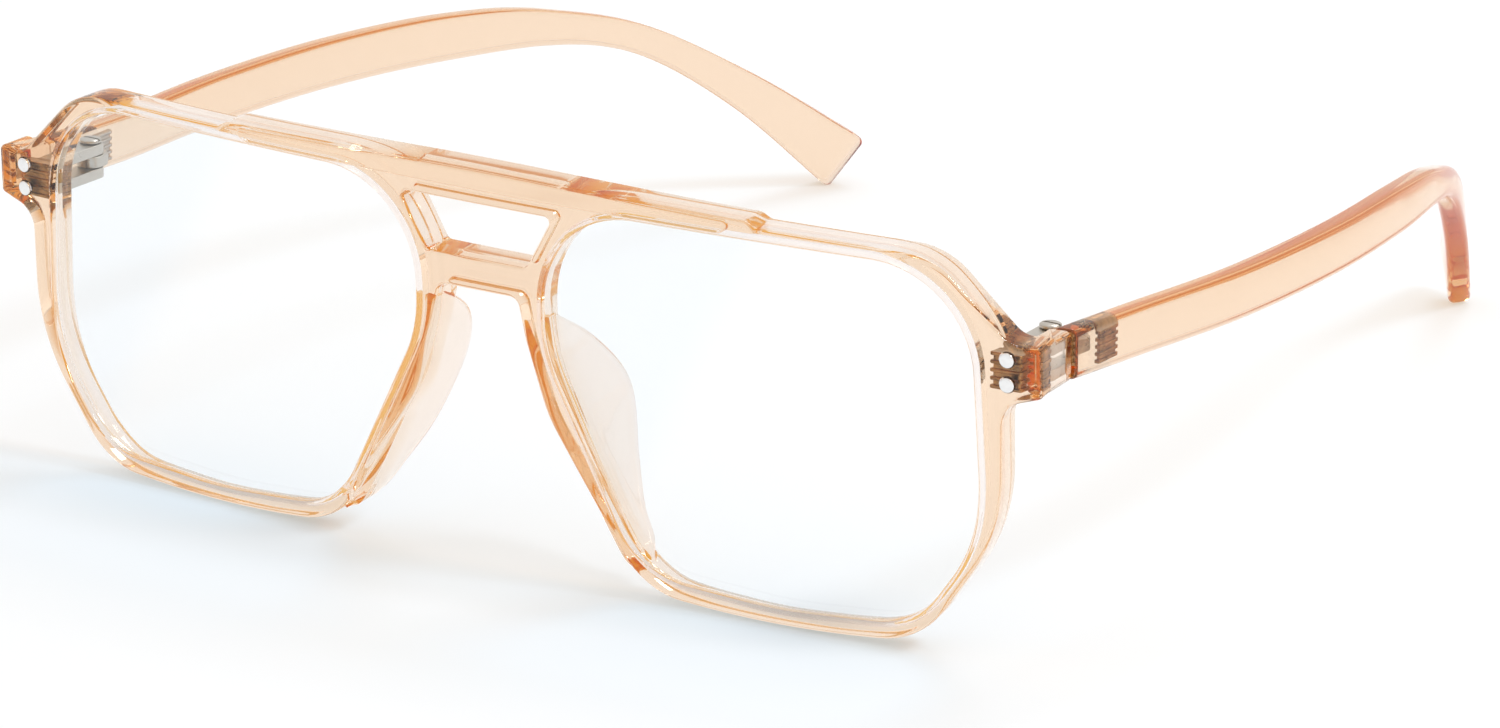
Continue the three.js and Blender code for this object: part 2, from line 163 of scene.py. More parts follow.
LENS_OPENING = [
    (62.3, 20, 26), (61.2, 44.7, 12), (8.5, 44.6, 12), (8.4, 27.2, 16),
    (20.6, 2.9, 10), (38, 1.7, 60), (54.6, 2.7, 10), (61.8, 13.0, 18),
]
OUTER_HALF = [
    (34.6, 46.8, 2), (35.8, 46.1, 1), (57.2, 46.0, 9), (66.3, 36.9, 3),
    (ENDPIECE_OUTER, ENDPIECE_TOP, 0.7), (ENDPIECE_OUTER, ENDPIECE_BOTTOM, 0.7), (65.0, 29.9, 3),
    (65.0, 15.1, 22), (55.0, 0.65, 10), (38, -0.56, 140), (20.8, 0.8, 10),
    (8.8, 19.6, 14), (6.1, 28.4, 8), (5.2, 33, 1.2),
]
TOP_CENTRE = (0, 47.5, 400)
BRIDGE_WINDOW = [(-10.1, 43.3, 0.6), (-6.5, 36.8, 0.9), (6.5, 36.8, 0.9), (10.1, 43.3, 0.6)]
BROW_OUTLINE = [(-33.8, 46.7, 0.6), (-31.5, 45.1, 1.5), (31.5, 45.1, 1.5), (33.8, 46.7, 0.6), TOP_CENTRE]
PAD_ROOTS = [(7.5, 30.9), (8.3, 26.0), (10.7, 20.0), (14.6, 12.0), (17.1, 7.4), (18.8, 4.6), (20.4, 2.8)]
PAD_EDGES = [
    (7.6, 4.0, 30.9), (8.8, 10.7, 26.0), (11.5, 13.9, 20.0), (14.2, 11.1, 12.0), (16.6, 8.3, 7.4),
    (18.5, 7.0, 4.6), (20.4, 4.0, 2.8),
]
TEMPLE_LINE = [
    (67.4, 12.0, 34.2), (68.1, 25, 33.5), (69.9, 46, 32.7), (69.5, 70, 31.8), (66.6, 92, 30.5),
    (62.8, 108.5, 28.6), (58.2, 122.9, 24.7), (51.9, 139.2, 15.0), (45.0, 154.5, 2.5),
]
BLADE_HEIGHTS = [(0, 5.8), (0.4, 6.0), (0.56, 5.6), (0.68, 4.0), (0.78, 4.1), (0.88, 5.4), (1, 8.0)]

# ---------------------------------------------------------------- outlines


def signed_area(points):
    x, y = np.array(points)[:, 0], np.array(points)[:, 1]
    return 0.5 * float(np.sum(x * np.roll(y, -1) - np.roll(x, -1) * y))


def rounded_loop(corners, spacing=1.2, turn_step=math.radians(7)):
    """Anticlockwise points and outward normals round corners given as (across, height, radius)."""
    if signed_area([c[:2] for c in corners]) < 0:
        corners = corners[::-1]
    arcs = []
    for i, (x, y, radius) in enumerate(corners):
        here = np.array([x, y], float)
        before = here - np.array(corners[i - 1][:2], float)
        after = np.array(corners[(i + 1) % len(corners)][:2], float) - here
        before /= np.linalg.norm(before)
        after /= np.linalg.norm(after)
        turn = math.atan2(before[0] * after[1] - before[1] * after[0], before @ after)
        start = here - before * radius * math.tan(abs(turn) / 2)
        to_centre = np.array([-before[1], before[0]]) * math.copysign(radius, turn)
        steps = max(1, math.ceil(abs(turn) / turn_step), math.ceil(abs(turn) * radius / spacing))
        arc = []
        for k in range(steps + 1):
            c, s = math.cos(turn * k / steps), math.sin(turn * k / steps)
            way = np.array([before[0] * c - before[1] * s, before[0] * s + before[1] * c])
            left = np.array([-way[1], way[0]])
            arc.append((start + to_centre - left * math.copysign(radius, turn), -left))
        arcs.append(arc)
    points, normals = [], []
    for i, arc in enumerate(arcs):
        for point, normal in arc:
            points.append(point)
            normals.append(normal)
        end, begin = arc[-1][0], arcs[(i + 1) % len(arcs)][0][0]
        count = math.ceil(np.linalg.norm(begin - end) / spacing)
        for k in range(1, count):
            points.append(end + (begin - end) * k / count)
            normals.append(arc[-1][1])
    return np.array(points), np.array(normals)


def front_corners():
    other = [(-x, y, radius) for x, y, radius in reversed(OUTER_HALF)]
    return [*other, TOP_CENTRE, *OUTER_HALF]


def mirrored_corners(corners):
    return [(-x, y, radius) for x, y, radius in corners]


def catmull(points, t, power=0.5):
    """A point on the open Catmull-Rom curve through points, with t from 0 to 1 over its spans."""
    p = [np.array(q, float) for q in points]
    p = [2 * p[0] - p[1], *p, 2 * p[-1] - p[-2]]
    spans = len(points) - 1
    i = min(int(t * spans), spans - 1)
    w = t * spans - i
    a, b, c, d = p[i : i + 4]
    gaps = [max(np.linalg.norm(y - x), 1e-9) ** power for x, y in ((a, b), (b, c), (c, d))]
    leave = ((b - a) / gaps[0] - (c - a) / (gaps[0] + gaps[1]) + (c - b) / gaps[1]) * gaps[1]
    arrive = ((c - b) / gaps[1] - (d - b) / (gaps[1] + gaps[2]) + (d - c) / gaps[2]) * gaps[1]
    h = [2 * w**3 - 3 * w**2 + 1, w**3 - 2 * w**2 + w, -2 * w**3 + 3 * w**2, w**3 - w**2]
    return h[0] * b + h[1] * leave + h[2] * c + h[3] * arrive


# ---------------------------------------------------------------- mesh drafts


class Draft:
    """Vertices and faces gathered before they become a mesh."""

    def __init__(self):
        self.points = []
        self.faces = []

    def ring(self, points):
        first = len(self.points)
        self.points.extend(np.array(points, float))
        return list(range(first, len(self.points)))

    def band(self, a, b):
        count = len(a)
        for k in range(count):
            n = (k + 1) % count
            self.faces.append((a[k], a[n], b[n], b[k]))

    def bands(self, rings):
        for a, b in zip(rings, rings[1:]):
            self.band(a, b)

    def mesh(self, name):
        mesh = bpy.data.meshes.new(name)
        mesh.from_pydata([tuple(p) for p in self.points], [], self.faces)
        bm = bmesh.new()
        bm.from_mesh(mesh)
        bmesh.ops.recalc_face_normals(bm, faces=bm.faces)
        bm.to_mesh(mesh)
        bm.free()
        return mesh


def inside(loops, points):
    """Which points lie inside an odd number of the closed loops."""
    odd = np.zeros(len(points), bool)
    x, y = points[:, 0], points[:, 1]
    for loop in loops:
        for (x0, y0), (x1, y1) in zip(loop, np.roll(loop, -1, axis=0)):
            crosses = (y0 > y) != (y1 > y)
            if crosses.any():
                odd ^= crosses & (x < x0 + (x1 - x0) * (y - y0) / (y1 - y0 if y1 != y0 else 1))
    return odd


def walled_groups(triangles, walls):
    """Lists of triangle numbers that touch one another without a wall edge between them."""
    walls = {frozenset(wall) for wall in walls}
    shared = {}
    for n, triangle in enumerate(triangles):
        for edge in zip(triangle, triangle[1:] + triangle[:1]):
            if frozenset(edge) not in walls:
                shared.setdefault(frozenset(edge), []).append(n)
    neighbours = [[] for _ in triangles]
    for pair in shared.values():
        if len(pair) == 2:
            neighbours[pair[0]].append(pair[1])
            neighbours[pair[1]].append(pair[0])
    groups, seen = [], set()
    for first in range(len(triangles)):
        if first in seen:
            continue
        seen.add(first)
        group = [first]
        for n in group:
            fresh = [m for m in neighbours[n] if m not in seen]
            seen.update(fresh)
            group += fresh
        groups.append(group)
    return groups


def fill(draft, rings, depth, spacing):
    """Even triangles over the flat region bounded by rings of vertex numbers, at one depth."""
    loops = [np.array([draft.points[i][[0, 2]] for i in ring]) for ring in rings]
    edge = np.concatenate(loops)
    low, high = edge.min(0), edge.max(0)
    rows = np.arange(low[1], high[1], spacing * math.sqrt(3) / 2)
    grid = np.array([
        (x + (spacing / 2 if i % 2 else 0), y)
        for i, y in enumerate(rows) for x in np.arange(low[0], high[0], spacing)
    ])
    grid = grid[inside(loops, grid)]
    nearest = np.array([np.min(np.sum((edge - g) ** 2, axis=1)) for g in grid]) if len(grid) else []
    grid = grid[np.array(nearest) > (FILL_CLEARANCE * spacing) ** 2] if len(grid) else grid
    numbers = [i for ring in rings for i in ring]
    numbers += draft.ring([(x, depth, y) for x, y in grid])
    edges, first = [], 0
    for ring in rings:
        edges += [(first + k, first + (k + 1) % len(ring)) for k in range(len(ring))]
        first += len(ring)
    flat = [Vector(p) for p in edge] + [Vector(p) for p in grid]
    found = geometry.delaunay_2d_cdt(flat, edges, [], 0, 1e-6)
    triangles = [tuple(found[3][v][0] for v in face) for face in found[2]]
    spots = np.array([tuple(p) for p in flat])
    for group in walled_groups(triangles, edges):
        a, b, c = spots[[triangles[n] for n in group]].transpose(1, 0, 2)
        area = np.abs((b - a)[:, 0] * (c - a)[:, 1] - (b - a)[:, 1] * (c - a)[:, 0])
        widest = int(np.argmax(area))
        if area[widest] > SLIVER and inside(loops, ((a + b + c) / 3)[widest : widest + 1])[0]:
            draft.faces += [tuple(numbers[i] for i in triangles[n]) for n in group]


def quarter(fillet, steps=FILLET_STEPS):
    """(inset, depth) from a flat face round a fillet to the wall."""
    turns = [math.pi / 2 * k / steps for k in range(steps + 1)]
    return [(fillet * (1 - math.sin(a)), fillet * (1 - math.cos(a))) for a in turns]


def wall_profile(near, far, near_fillet, far_fillet, groove=None):
    """(inset, depth) across an edge, from inside the near face to inside the far face."""
    start = [(near_fillet + SUPPORT, near), *[(i, near + d) for i, d in quarter(near_fillet)]]
    end = [(far_fillet + SUPPORT, far), *[(i, far - d) for i, d in quarter(far_fillet)]]
    middle = []
    if groove:
        front, back, bite = groove
        middle = [(0, front), (bite, front), (bite, back), (0, back)]
    return [*start, *middle, *reversed(end)]


def plate(outer, holes, near, far, fillets, groove=None, spacing=2.0):
    """A plate with rounded edges round outer corners, with holes given as (corners, fillet, has groove)."""
    draft = Draft()
    edges = {"near": [], "far": []}
    loops = [(outer, 1, fillets[0], False), *[(corners, -1, fillet, cut) for corners, fillet, cut in holes]]
    for corners, outward, fillet, cut in loops:
        points, normals = rounded_loop(corners)
        far_fillet = fillets[1] if outward > 0 else fillet
        profile = wall_profile(near, far, fillet, far_fillet, groove if cut else None)
        drop = REAR_LIP_DROP * np.clip(-normals[:, 1:], 0, 1) ** 3 if cut else 0
        rings = []
        for inset, depth in profile:
            behind = cut and depth > groove[1] - 0.01 and inset < groove[2]
            moved = points - normals * outward * (inset + (drop if behind else 0))
            rings.append(draft.ring([(x, depth, y) for x, y in moved]))
        draft.bands(rings)
        edges["near"].append(rings[0])
        edges["far"].append(rings[-1])
    fill(draft, edges["near"], near, spacing)
    fill(draft, edges["far"], far, spacing)
    return draft


def loft(rings):
    draft = Draft()
    numbers = [draft.ring(ring) for ring in rings]
    draft.bands(numbers)
    draft.faces.append(tuple(numbers[0]))
    draft.faces.append(tuple(reversed(numbers[-1])))
    return draft


def object_of(name, mesh):
    made = bpy.data.objects.new(name, mesh)
    bpy.context.scene.collection.objects.link(made)
    return made


def joined(name, base, others, operation="UNION"):
    """The base draft with others added or taken away, as one mesh."""
    body = object_of(name, base.mesh(name))
    extra = []
    for i, other in enumerate(others):
        tool = object_of(f"{name}_tool_{i}", other.mesh(f"{name}_tool_{i}"))
        modifier = body.modifiers.new("cut", "BOOLEAN")
        modifier.operation = operation
        modifier.solver = "MANIFOLD"
        modifier.object = tool
        extra.append(tool)
    bpy.context.view_layer.update()
    graph = bpy.context.evaluated_depsgraph_get()
    mesh = bpy.data.meshes.new_from_object(body.evaluated_get(graph))
    for thing in [body, *extra]:
        bpy.data.objects.remove(thing)
    return mesh


def reshape(mesh, move):
    """Every vertex of the mesh through move, a function of an array of points."""
    points = np.zeros(len(mesh.vertices) * 3)
    mesh.vertices.foreach_get("co", points)
    mesh.vertices.foreach_set("co", move(points.reshape(-1, 3)).ravel())
    mesh.update()
    return mesh


def wrap(points):
    """The flat drawing (across, depth, height) in millimetres to the row frame in metres."""
    angle = points[:, 0] / WRAP_RADIUS
    radius = WRAP_RADIUS - points[:, 1]
    x = radius * np.sin(angle)
    y = WRAP_RADIUS - radius * np.cos(angle)
    z = points[:, 2]
    tipped_y = y * math.cos(LEAN) - z * math.sin(LEAN) - ORIGIN_BEHIND_FRONT
    tipped_z = y * math.sin(LEAN) + z * math.cos(LEAN)
    return np.stack([x, tipped_y, tipped_z], axis=1) * MM


def flipped(draft):
    copy = Draft()
    copy.points = [np.array(p) * np.array([-1, 1, 1]) for p in draft.points]
    copy.faces = [tuple(reversed(face)) for face in draft.faces]
    return copy


def finish_piece(name, mesh, material, body, nodes, sharp=math.radians(32)):
    """The mesh as a smooth-shaded piece that rides on a body and stands for CAD nodes."""
    bm = bmesh.new()
    bm.from_mesh(mesh)
    bmesh.ops.remove_doubles(bm, verts=bm.verts, dist=MERGE_DISTANCE)
    bmesh.ops.triangulate(bm, faces=[f for f in bm.faces if len(f.verts) > 4])
    bmesh.ops.recalc_face_normals(bm, faces=bm.faces)
    for face in bm.faces:
        face.smooth = True
    for edge in bm.edges:
        edge.smooth = len(edge.link_faces) == 2 and edge.calc_face_angle(0) < sharp
    bm.to_mesh(mesh)
    bm.free()
    mesh.name = name
    made = object_of(name, mesh)
    made.data.materials.clear()
    made.data.materials.append(material)
    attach(made, body)
    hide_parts(*nodes)
    return made


# ---------------------------------------------------------------- materials

# painted glows: steady emitted colours that stand in for light bounced many times inside the plastic and the
# lens
PAINTED_AMBER_GLOW = (0.92, 0.56, 0.13)
AMBER_GLOW_AFTER_BOUNCES = 6
FADE_BOUNCES = (3, 6)
ABSORPTION_LEFT = 0.12
PLASTIC_SHADOW = (0.84, 0.84, 0.84)
# painted glow: near-white emission for light that has bounced many times inside the lens
LENS_PAINTED_GLOW = (0.95, 0.93, 0.90)
LENS_GLOW_AFTER_BOUNCES = 12
LENS_SHADOW = (0.84, 0.93, 1.0)
# painted reflection: the blue the coating reflects, painted into the lens colour towards one upper corner
COATING_REFLECTION_SLANT = (1, 0, -0.45)
PAINTED_COATING_REFLECTION = (0.935, 0.968, 0.995, 1)
COATING_CLEAR = (0.99, 0.997, 1, 1)
COATING_REFLECTION_REACH = 0.16
FRONT_ANCHOR_AHEAD = 6.9
TEMPLE_ANCHOR_OUTBOARD = 2.5
RIVET_HEAD_SHARE = 0.15
POLISH_RANGE = (0.6, 1.5)
GRAIN_SHADE = 0.82
# painted shade on metal sunk in the plastic, mottled by the grain
SUNK_SHADE_DARKEST = 0.45
SUNK_SHADE_SPREAD = (0.35, 0.65)


def new_material(name):
    material = bpy.data.materials.new(name)
    material.use_nodes = True
    nodes, links = material.node_tree.nodes, material.node_tree.links
    nodes.clear()
    output = nodes.new("ShaderNodeOutputMaterial")
    return material, nodes, links, output


def let_light_through(nodes, links, surface, colour):
    """The surface, but see-through with a tint for shadow and diffuse rays."""
    path = nodes.new("ShaderNodeLightPath")
    either = nodes.new("ShaderNodeMath")
    either.operation = "MAXIMUM"
    links.new(path.outputs["Is Shadow Ray"], either.inputs[0])
    links.new(path.outputs["Is Diffuse Ray"], either.inputs[1])
    clear = nodes.new("ShaderNodeBsdfTransparent")
    clear.inputs["Color"].default_value = (*colour, 1)
    mix = nodes.new("ShaderNodeMixShader")
    links.new(either.outputs[0], mix.inputs[0])
    links.new(surface, mix.inputs[1])
    links.new(clear.outputs[0], mix.inputs[2])
    return mix.outputs[0]


def painted_deep_glow(nodes, links, surface, depth, colour):
    """The surface, but a painted glow in a steady deep colour for light that has already bounced many times
    inside.
    """
    path = nodes.new("ShaderNodeLightPath")
    many = nodes.new("ShaderNodeMath")
    many.operation = "GREATER_THAN"
    links.new(path.outputs["Ray Depth"], many.inputs[0])
    many.inputs[1].default_value = depth
    glow = nodes.new("ShaderNodeEmission")
    glow.inputs["Color"].default_value = (*colour, 1)
    mix = nodes.new("ShaderNodeMixShader")
    links.new(many.outputs[0], mix.inputs[0])
    links.new(surface, mix.inputs[1])
    links.new(glow.outputs[0], mix.inputs[2])
    return mix.outputs[0]


def plastic_material(name, density):
    """Polished see-through moulding: peach where thin, amber to brown where light crosses a lot of it."""
    material, nodes, links, output = new_material(name)
    shell = nodes.new("ShaderNodeBsdfPrincipled")
    shell.inputs["Base Color"].default_value = (0.985, 0.945, 0.95, 1)
    shell.inputs["Roughness"].default_value = 0.03
    shell.inputs["IOR"].default_value = 1.49
    shell.inputs["Transmission Weight"].default_value = 1
    # painted glow: steady amber emission for light that has bounced many times inside the plastic
    surface = painted_deep_glow(nodes, links, shell.outputs[0], AMBER_GLOW_AFTER_BOUNCES, PAINTED_AMBER_GLOW)
    surface = let_light_through(nodes, links, surface, PLASTIC_SHADOW)
    links.new(surface, output.inputs["Surface"])
    tint = nodes.new("ShaderNodeVolumeAbsorption")
    tint.inputs["Color"].default_value = (0.93, 0.72, 0.43, 1)
    path = nodes.new("ShaderNodeLightPath")
    fade = nodes.new("ShaderNodeMapRange")
    links.new(path.outputs["Ray Depth"], fade.inputs["Value"])
    fade.inputs["From Min"].default_value = FADE_BOUNCES[0]
    fade.inputs["From Max"].default_value = FADE_BOUNCES[1]
    fade.inputs["To Min"].default_value = density
    fade.inputs["To Max"].default_value = ABSORPTION_LEFT * density
    links.new(fade.outputs["Result"], tint.inputs["Density"])
    links.new(tint.outputs[0], output.inputs["Volume"])
    return material


def lens_material():
    """Clear lens whose faint blue filter coating shows as a painted blue reflection towards one upper
    corner.
    """
    material, nodes, links, output = new_material("clear_lens")
    shell = nodes.new("ShaderNodeBsdfPrincipled")
    shell.inputs["Roughness"].default_value = 0
    shell.inputs["IOR"].default_value = 1.5
    shell.inputs["Transmission Weight"].default_value = 1
    place = nodes.new("ShaderNodeTexCoord")
    slant = nodes.new("ShaderNodeVectorMath")
    slant.operation = "DOT_PRODUCT"
    links.new(place.outputs["Generated"], slant.inputs[0])
    slant.inputs[1].default_value = COATING_REFLECTION_SLANT
    # painted reflection: blue towards one upper corner, fading to the clear lens colour
    ramp = nodes.new("ShaderNodeValToRGB")
    ramp.color_ramp.interpolation = "EASE"
    links.new(slant.outputs["Value"], ramp.inputs[0])
    ramp.color_ramp.elements[0].color = PAINTED_COATING_REFLECTION
    ramp.color_ramp.elements[1].position = COATING_REFLECTION_REACH
    ramp.color_ramp.elements[1].color = COATING_CLEAR
    links.new(ramp.outputs[0], shell.inputs["Base Color"])
    # painted glow: near-white emission for light bounced many times inside the lens
    surface = painted_deep_glow(nodes, links, shell.outputs[0], LENS_GLOW_AFTER_BOUNCES, LENS_PAINTED_GLOW)
    surface = let_light_through(nodes, links, surface, LENS_SHADOW)
    links.new(surface, output.inputs["Surface"])
    return material


def beyond(nodes, links, value, limit, operation="GREATER_THAN"):
    """One where the value is past the limit, and zero elsewhere."""
    test = nodes.new("ShaderNodeMath")
    test.operation = operation
    links.new(value, test.inputs[0])
    test.inputs[1].default_value = limit
    return test.outputs[0]


def in_anchor(nodes, links, place):
    """One where a hinge leaf is sunk in the endpiece, or outboard of the temple's inner face."""
    split = nodes.new("ShaderNodeSeparateXYZ")
    links.new(place.outputs["Object"], split.inputs[0])
    across = nodes.new("ShaderNodeMath")
    across.operation = "ABSOLUTE"
    links.new(split.outputs["X"], across.inputs[0])
    ahead = beyond(nodes, links, split.outputs["Y"], (HINGE_Y - FRONT_ANCHOR_AHEAD) * MM, "LESS_THAN")
    outboard = beyond(nodes, links, across.outputs[0], (HINGE_X + TEMPLE_ANCHOR_OUTBOARD) * MM)
    either = nodes.new("ShaderNodeMath")
    either.operation = "MAXIMUM"
    links.new(ahead, either.inputs[0])
    links.new(outboard, either.inputs[1])
    return either.outputs[0]


def below_head(nodes, links, place):
    """One on the part of a rivet that is let into the front."""
    split = nodes.new("ShaderNodeSeparateXYZ")
    links.new(place.outputs["Generated"], split.inputs[0])
    return beyond(nodes, links, split.outputs["Y"], RIVET_HEAD_SHARE)


def metal_material(name, colour, painted_sunk_shade, roughness, grain, sunk):
    """Metal with a fine uneven grain in its roughness and surface, and painted shade where it is sunk."""
    material, nodes, links, output = new_material(name)
    shell = nodes.new("ShaderNodeBsdfPrincipled")
    shell.inputs["Metallic"].default_value = 1
    place = nodes.new("ShaderNodeTexCoord")
    noise = nodes.new("ShaderNodeTexNoise")
    noise.inputs["Scale"].default_value = grain
    noise.inputs["Detail"].default_value = 4
    links.new(place.outputs["Object"], noise.inputs["Vector"])
    polish = nodes.new("ShaderNodeMapRange")
    polish.inputs["To Min"].default_value = roughness * POLISH_RANGE[0]
    polish.inputs["To Max"].default_value = roughness * POLISH_RANGE[1]
    links.new(noise.outputs["Fac"], polish.inputs["Value"])
    links.new(polish.outputs["Result"], shell.inputs["Roughness"])
    tone = nodes.new("ShaderNodeValToRGB")
    tone.color_ramp.elements[0].color = (*[GRAIN_SHADE * c for c in colour], 1)
    tone.color_ramp.elements[1].color = (*colour, 1)
    links.new(noise.outputs["Fac"], tone.inputs[0])
    mix = nodes.new("ShaderNodeMix")
    mix.data_type = "RGBA"
    links.new(sunk(nodes, links, place), mix.inputs["Factor"])
    links.new(tone.outputs[0], mix.inputs["A"])
    # painted shade where the metal is sunk in the plastic, darker and lighter with the grain noise
    sunk_shade_mottle = nodes.new("ShaderNodeValToRGB")
    sunk_shade_mottle.color_ramp.elements[0].position = SUNK_SHADE_SPREAD[0]
    sunk_shade_mottle.color_ramp.elements[0].color = (*[SUNK_SHADE_DARKEST * c for c in painted_sunk_shade], 1)
    sunk_shade_mottle.color_ramp.elements[1].position = SUNK_SHADE_SPREAD[1]
    sunk_shade_mottle.color_ramp.elements[1].color = (*painted_sunk_shade, 1)
    links.new(noise.outputs["Fac"], sunk_shade_mottle.inputs[0])
    links.new(sunk_shade_mottle.outputs[0], mix.inputs["B"])
    links.new(mix.outputs["Result"], shell.inputs["Base Color"])
    bump = nodes.new("ShaderNodeBump")
    bump.inputs["Strength"].default_value = 0.12
    bump.inputs["Distance"].default_value = 0.00005
    links.new(noise.outputs["Fac"], bump.inputs["Height"])
    links.new(bump.outputs["Normal"], shell.inputs["Normal"])
    links.new(shell.outputs[0], output.inputs["Surface"])
    return material


FRONT_PLASTIC = plastic_material("champagne_front", 200)
TEMPLE_PLASTIC = plastic_material("champagne_temple", 300)
LENS = lens_material()
# the near-black brown below each rivet's head is painted shade on the shank inside the plastic
RIVET = metal_material("rivet_silver", (0.95, 0.95, 0.95), (0.10, 0.05, 0.02), 0.12, 2500, below_head)
# the brown where the hinge leaves are sunk in the endpiece and temple is painted shade
HINGE = metal_material("hinge_nickel", (0.60, 0.56, 0.50), (0.52, 0.34, 0.17), 0.3, 900, in_anchor)

# ---------------------------------------------------------------- front


def smooth_step(value, start, end):
    t = min(max((value - start) / (end - start), 0), 1)
    return t * t * (3 - 2 * t)


def thinned(draft):
    """The rim plate with its back thinned under the lenses, clear of the pads and the outer corners."""
    for point in draft.points:
        behind = point[1] - GROOVE[1]
        if behind > 0:
            out = abs(point[0])
            share = smooth_step(out, *THINNED_FROM) * (1 - smooth_step(out, *THINNED_TO))
            share *= 1 - smooth_step(point[2], *THINNED_BELOW)
            point[1] -= behind * THINNED_SHARE * share
    return draft


def nose_pad():
    """A fin along the nasal rim that reaches back from it and flares into it."""
    rings = []
    count = 72
    side_steps = 18
    for i in range(count + 1):
        t = i / count
        root, edge = catmull(PAD_ROOTS, t), catmull(PAD_EDGES, t)
        along = catmull(PAD_ROOTS, min(t + 0.01, 1)) - catmull(PAD_ROOTS, max(t - 0.01, 0))
        along /= np.linalg.norm(along)
        sideways = np.array([-along[1], 0, along[0]])
        start = np.array([root[0], PAD_ROOT, root[1]])
        reach = np.linalg.norm(edge - start)
        profile = []
        for k in range(side_steps + 1):
            u = math.sin(math.pi / 2 * k / side_steps)
            to_end = reach * (1 - u)
            depth = start[1] + (edge[1] - start[1]) * u
            half = PAD_HALF + PAD_FLARE * math.exp(-max(depth - RIM_DEPTH, 0) / PAD_FLARE_REACH)
            half *= (1 - PAD_EDGE_THINNING * u) * (1 - PAD_FOOT_THINNING * smooth_step(t, PAD_FOOT_FROM, 1))
            round_end = min(half, PAD_ROUND_END)
            if to_end < round_end:
                half *= math.sqrt(max(1 - (1 - to_end / round_end) ** 2, 0))
            profile.append((start + (edge - start) * u, max(half, PAD_THINNEST)))
        ring = [centre + sideways * half for centre, half in profile]
        ring += [centre - sideways * half for centre, half in reversed(profile)]
        rings.append(ring)
    return loft(rings)


def brow_bar():
    """The raised strip along the top of the front, with its back sunk in the front's face."""
    return plate(BROW_OUTLINE, [], -BROW_RISE, BROW_BACK, (BROW_FILLET, 0.1))


def endpiece_wall():
    """The outer wall that runs back to the temple, a hair inside the front's outline."""
    outer = ENDPIECE_OUTER - WALL_INSIDE
    bottom = ENDPIECE_BOTTOM + WALL_INSIDE
    top = ENDPIECE_TOP - WALL_INSIDE
    corners = [
        (ENDPIECE_INNER, bottom, 0.5), (outer, bottom, 0.69), (outer, top, 0.69), (ENDPIECE_INNER, top, 0.5),
    ]
    wall = plate(corners, [], WALL_START, ENDPIECE_DEPTH, (0.1, 0.3), spacing=1.0)
    for point in wall.points:
        point[2] -= ENDPIECE_DROP * point[1] / ENDPIECE_DEPTH
    return wall


def moulded_front():
    base = plate(
        front_corners(),
        [
            (LENS_OPENING, OPENING_FILLET, True),
            (mirrored_corners(LENS_OPENING), OPENING_FILLET, True),
            (BRIDGE_WINDOW, OPENING_FILLET, False),
        ],
        0, RIM_DEPTH, (RIM_FILLET, RIM_FILLET), GROOVE, spacing=1.6,
    )
    thinned(base)
    pad, wall = nose_pad(), endpiece_wall()
    mesh = joined("moulded_front", base, [brow_bar(), pad, flipped(pad), wall, flipped(wall)])
    reshape(mesh, wrap)
    return finish_piece("moulded_front", mesh, FRONT_PLASTIC, "front", ["front_frame"])


def lens(side_name):
    corners = LENS_OPENING if SIDES[side_name] > 0 else mirrored_corners(LENS_OPENING)
    points, normals = rounded_loop(corners)
    draft = Draft()
    rings = []
    for inset, depth in wall_profile(LENS_FRONT, LENS_FRONT + LENS_THICKNESS, LENS_FILLET, LENS_FILLET):
        moved = points + normals * (LENS_BITE - inset)
        rings.append(draft.ring([(x, depth, y) for x, y in moved]))
    draft.bands(rings)
    fill(draft, [rings[0]], LENS_FRONT, LENS_FILL)
    fill(draft, [rings[-1]], LENS_FRONT + LENS_THICKNESS, LENS_FILL)
    mesh = reshape(draft.mesh(f"clear_lens_{side_name}"), wrap)
    return finish_piece(
        f"clear_lens_{side_name}", mesh, LENS, "front", [f"lens_{side_name}"],
    )


# ---------------------------------------------------------------- temples


def even_line(points, count, samples=2000):
    """Points and directions spaced evenly along the curve through points, and its length."""
    fine = np.array([catmull(points, k / samples) for k in range(samples + 1)])
    run = np.concatenate([[0], np.cumsum(np.linalg.norm(np.diff(fine, axis=0), axis=1))])
    at = np.interp(np.linspace(0, run[-1], count), run, np.arange(len(fine)))
    spots = np.stack([np.interp(at, np.arange(len(fine)), fine[:, k]) for k in range(3)], axis=1)
    ways = np.gradient(spots, axis=0)
    return spots, ways / np.linalg.norm(ways, axis=1)[:, None], run[-1]


def blade_height(t, samples=200):
    """The height of the blade's section a share t of the way from the seam to the tip."""
    fine = np.array([catmull(BLADE_HEIGHTS, k / samples, power=0) for k in range(samples + 1)])
    return float(np.interp(t, fine[:, 0], fine[:, 1]))


def section(half, tall, fillet, steps=6):
    """A rounded rectangle as (side, height) points."""
    points = []
    for sign_x, sign_y, start in ((1, 1, 0), (-1, 1, 90), (-1, -1, 180), (1, -1, 270)):
        for k in range(steps + 1):
            a = math.radians(start + 90 * k / steps)
            across = sign_x * (half - fillet) + fillet * math.cos(a)
            points.append((across, sign_y * (tall - fillet) + fillet * math.sin(a)))
    return points


def seam_y(points):
    """Where lines along Y meet the seam plane at the back of the endpiece."""
    across = (ENDPIECE_INNER + ENDPIECE_OUTER) / 2
    height = (ENDPIECE_BOTTOM + ENDPIECE_TOP) / 2
    spot = wrap(np.array([[across, ENDPIECE_DEPTH, height]]))[0] / MM
    level = wrap(np.array([[across, ENDPIECE_DEPTH, 0], [across, ENDPIECE_DEPTH + 1, 0]])) / MM
    way = level[1] - level[0]
    return spot[1] - (way[0] * (points[:, 0] - spot[0]) + way[2] * (points[:, 2] - spot[2])) / way[1]


